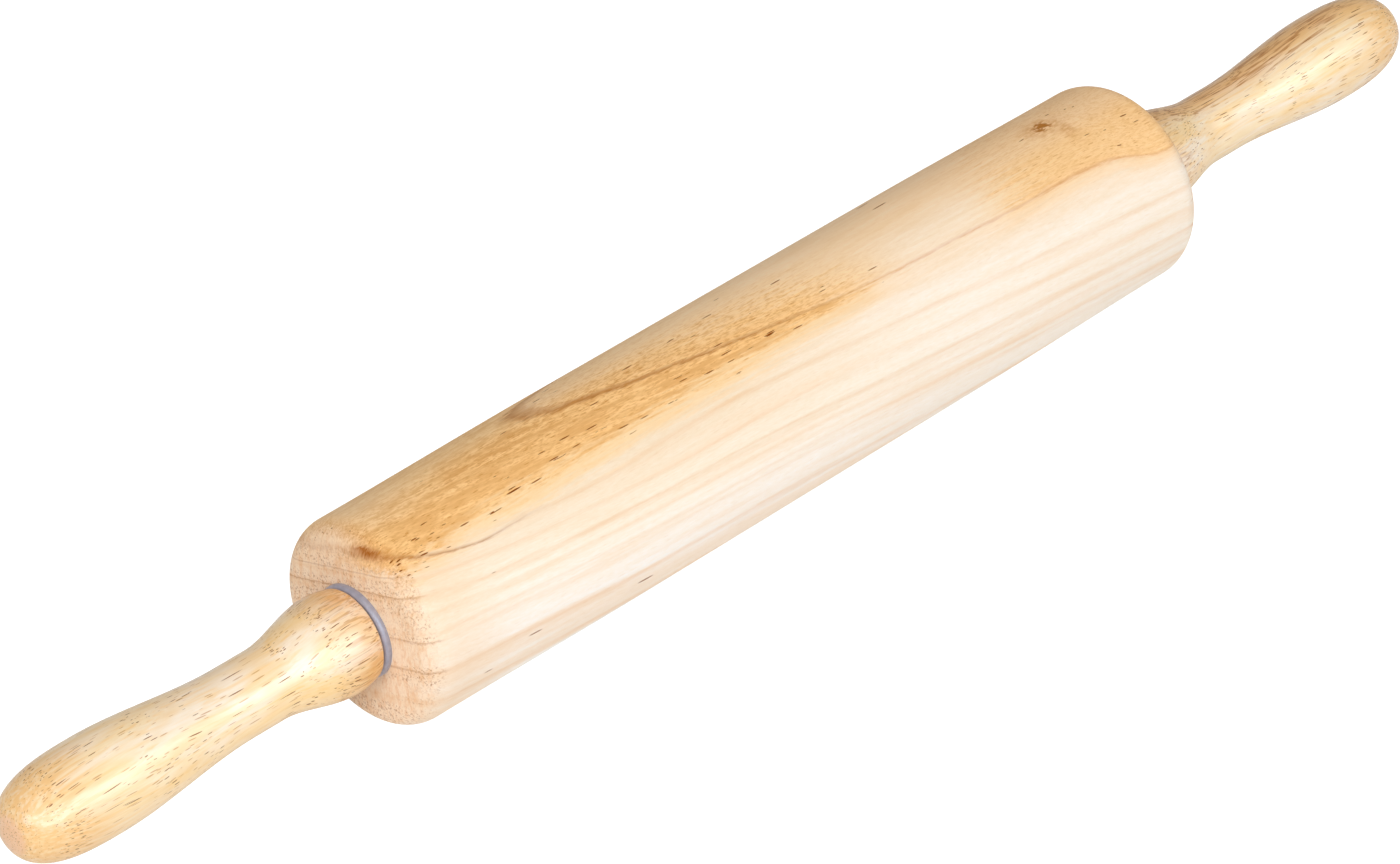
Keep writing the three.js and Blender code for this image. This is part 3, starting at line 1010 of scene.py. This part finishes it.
def makeBarrel(shape):
    ease = np.linspace(0, 1, 14)
    easeEnd = barrelEnd - shape["edgeLength"]
    slope = np.stack((
        barrelRadius - shape["easeDepth"] * smooth(ease),
        barrelEnd - shape["easeLength"] + ease * (shape["easeLength"] - shape["edgeLength"]),
    ), axis=-1)
    edgeMiddle = slope[-1, 0] - shape["edgeDepth"]
    edge = arc(edgeMiddle, easeEnd, shape["edgeDepth"], 0, 90, 20, along=shape["edgeLength"])
    seatEnd = barrelEnd - shape["seatDepth"]
    inner = np.array((
        (shape["seatRadius"], barrelEnd),
        (shape["seatRadius"], seatEnd),
        (shape["boreRadius"], seatEnd),
    ))
    half = np.concatenate((slope[:-1], edge, inner))
    whole = np.concatenate((half, (half * (1, -1))[::-1]))
    barrel = carriedRound("barrelWood", whole, shape["sides"])
    standsFor(barrel, "barrel", "barrel", paleHardwood)


makeBarrel(barrelShape)


# Handles

handleShape = {
    "footRadius": 11.54 * mm,
    "footRound": 1.1 * mm,
    "swellRadius": 12.3 * mm,
    "waistRadius": 8.8 * mm,
    "gripRadius": 11.75 * mm,
    "swellShare": 0.065,                  # places along the handle, as shares of its length
    "waistStartShare": 0.262,
    "waistEndShare": 0.354,
    "gripShare": 0.75,
    "nosePower": 2.8,                     # superellipse exponent of the nose
    "boreRadius": 4.26 * mm,
    "boreDepth": 54.5 * mm,
    "sides": 160,
}


def makeHandle(shape, name, node, side):
    length = handleTip - handleFoot
    turn = shape["footRound"]
    foot = arc(shape["footRadius"] - turn, handleFoot + turn, turn, -90, 0, 9)
    swellTop = (shape["swellRadius"], handleFoot + length * shape["swellShare"])
    waistStart = (shape["waistRadius"], handleFoot + length * shape["waistStartShare"])
    waistEnd = (shape["waistRadius"], handleFoot + length * shape["waistEndShare"])
    gripTop = (shape["gripRadius"], handleFoot + length * shape["gripShare"])
    share = np.linspace(0, 1, 25)[1:]
    swell = eased(foot[-1], swellTop, share, np.sin(share * np.pi / 2))
    neck = eased(swellTop, waistStart, share, smooth(share))
    grip = eased(waistEnd, gripTop, share, smooth(share))
    angle = np.radians(np.linspace(0, 90, 31)[1:])
    nose = np.stack((
        gripTop[0] * np.clip(np.cos(angle), 0, 1) ** (2 / shape["nosePower"]),
        gripTop[1] + (handleTip - gripTop[1]) * np.sin(angle) ** (2 / shape["nosePower"]),
    ), axis=-1)
    nose[-1, 0] = 0
    bore = np.array((
        (0, handleFoot + shape["boreDepth"]),
        (shape["boreRadius"], handleFoot + shape["boreDepth"]),
        (shape["boreRadius"], handleFoot),
    ))
    outline = np.concatenate((bore, foot, swell, neck, (waistEnd,), grip, nose))
    outline[:, 1] += barrelEnd
    handle = carriedRound(name, outline, shape["sides"], side)
    standsFor(handle, node, "axle", lacqueredHardwood)


makeHandle(handleShape, "leftHandleWood", "left_handle", -1)
makeHandle(handleShape, "rightHandleWood", "right_handle", 1)


# Bearing cups

cupShape = {
    "bodyRadius": 10.49 * mm,
    "mouthRadius": 9.19 * mm,
    "holeRadius": 4.5 * mm,
    "pitchRadius": 7.07 * mm,
    "raceRadius": 2.12 * mm,
    "ballPlace": -1.45 * mm,
    "web": 1.5 * mm,
    "leadIn": 0.6 * mm,
    "flangeRound": 1.1 * mm,
    "lipRound": 0.35 * mm,
    "ribHeight": 0.25 * mm,
    "ribCount": 8,
    "ribTurn": 2.4,                       # half the angle that a rib takes, in degrees
    "sides": 192,
}


def makeCup(shape, name, node, side):
    webFace = shape["ballPlace"] - shape["raceRadius"]
    webBack = webFace - shape["web"]
    skirt = np.array((
        (shape["holeRadius"], webFace),
        (shape["holeRadius"], webBack),
        (shape["mouthRadius"], webBack),
        (shape["mouthRadius"], cupBack),
        (shape["bodyRadius"] - shape["leadIn"], cupBack),
        (shape["bodyRadius"], cupBack + shape["leadIn"]),
        (shape["bodyRadius"], 0),
        (cupFlangeRadius, 0),
    ))
    turn = shape["flangeRound"]
    rim = arc(cupFlangeRadius - turn, cupFace - turn, turn, 0, 90, 12)
    turn = shape["lipRound"]
    lip = arc(shape["mouthRadius"] + turn, cupFace - turn, turn, 90, 180, 6)
    race = arc(shape["pitchRadius"], shape["ballPlace"], shape["raceRadius"], 0, -90, 16)
    outline = np.concatenate((skirt, rim, lip, race))
    outline[:, 1] += barrelEnd
    angles = 360 * (np.arange(shape["sides"]) + 0.5) / shape["sides"]
    spacing = 360 / shape["ribCount"]
    fromRib = np.abs((angles + spacing / 2) % spacing - spacing / 2)
    lift = np.zeros((len(outline), shape["sides"]))
    lift[5:7] = shape["ribHeight"] * (fromRib < shape["ribTurn"])    # the skirt's outer wall
    cup = carriedRound(name, outline, shape["sides"], side, lift)
    standsFor(cup, node, "barrel", greyNylon)


makeCup(cupShape, "leftCupNylon", "left_bearing_cup", -1)
makeCup(cupShape, "rightCupNylon", "right_bearing_cup", 1)
print("stage: barrel, handles and bearing cups")


# Bearing cones: the inner races on the rod

coneShape = {
    "boreRadius": 4.1 * mm,
    "sleeveRadius": 4.95 * mm,
    "pitchRadius": 7.07 * mm,
    "raceRadius": 2.12 * mm,
    "dustRadius": 8.74 * mm,
    "dustThickness": 0.9 * mm,
    "tail": 1.5 * mm,
    "chamfer": 0.25 * mm,
    "sides": 128,
}


def makeCone(shape, name, node, side):
    ballPlace = cupShape["ballPlace"]
    tailEnd = ballPlace - shape["tail"]
    dustBack = handleFoot - shape["dustThickness"]
    race = arc(shape["pitchRadius"], ballPlace, shape["raceRadius"], 180, 90, 16)
    outline = np.concatenate((
        np.array((
            (shape["boreRadius"], tailEnd),
            (shape["sleeveRadius"] - shape["chamfer"], tailEnd),
            (shape["sleeveRadius"], tailEnd + shape["chamfer"]),
        )),
        race,
        np.array((
            (shape["pitchRadius"], dustBack),
            (shape["dustRadius"] - shape["chamfer"], dustBack),
            (shape["dustRadius"], dustBack + shape["chamfer"]),
            (shape["dustRadius"], handleFoot),
            (shape["boreRadius"], handleFoot),
        )),
    ))
    outline[:, 1] += barrelEnd
    cone = carriedRound(name, outline, shape["sides"], side)
    standsFor(cone, node, "axle", turnedSteel)


makeCone(coneShape, "leftConeSteel", "left_bearing_cone", -1)
makeCone(coneShape, "rightConeSteel", "right_bearing_cone", 1)


# Rod, with a straight knurl at each end

rodShape = {
    "radius": 4 * mm,
    "chamfer": 0.7 * mm,
    "knurlLength": 34 * mm,
    "knurlHeight": 0.2 * mm,
    "teeth": 24,
    "sidesPerTooth": 6,
}


def makeRod(shape):
    radius = shape["radius"]
    crestEnd = rodEnd - shape["chamfer"]
    crestStart = crestEnd - shape["knurlLength"]
    half = np.array((
        (radius, crestStart),
        (radius, crestStart),
        (radius, crestEnd),
        (radius, crestEnd),
        (radius - shape["chamfer"], rodEnd),
        (0, rodEnd),
    ))
    whole = np.concatenate(((half * (1, -1))[::-1], half))
    sides = shape["teeth"] * shape["sidesPerTooth"]
    phase = (np.arange(sides) + 0.5) / shape["sidesPerTooth"] % 1
    tooth = shape["knurlHeight"] * (1 - 4 * np.abs(phase - 0.5))
    lift = np.zeros((len(whole), sides))
    lift[[3, 4, 7, 8]] = tooth            # the two ends of each knurl
    rod = carriedRound("rodSteel", whole, sides, lift=lift)
    standsFor(rod, "axle_rod", "axle", turnedSteel)


makeRod(rodShape)


# Balls

ballShape = {"radius": 2 * mm, "rings": 17, "sides": 32, "count": 10}


def makeBall(shape, name, node, body):
    # A ball is carried round a line through its middle, along X
    low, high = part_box(node)
    middle = (low + high) / 2
    angle = np.linspace(-np.pi / 2, np.pi / 2, shape["rings"])
    outline = shape["radius"] * np.stack((np.cos(angle), np.sin(angle)), axis=-1)
    outline[[0, -1], 0] = 0
    ball = carriedRound(name, outline, shape["sides"])
    ball.data.transform(Matrix.Translation(middle - Vector((0, 0, axisHeight))))
    standsFor(ball, node, body, polishedSteel)


for side in ("left", "right"):
    for number in range(1, ballShape["count"] + 1):
        node = f"{side}_ball_{number:02d}"
        makeBall(ballShape, f"{side}BallSteel{number:02d}", node, f"{side}_ball_ring")
print("stage: cones, rod and balls")
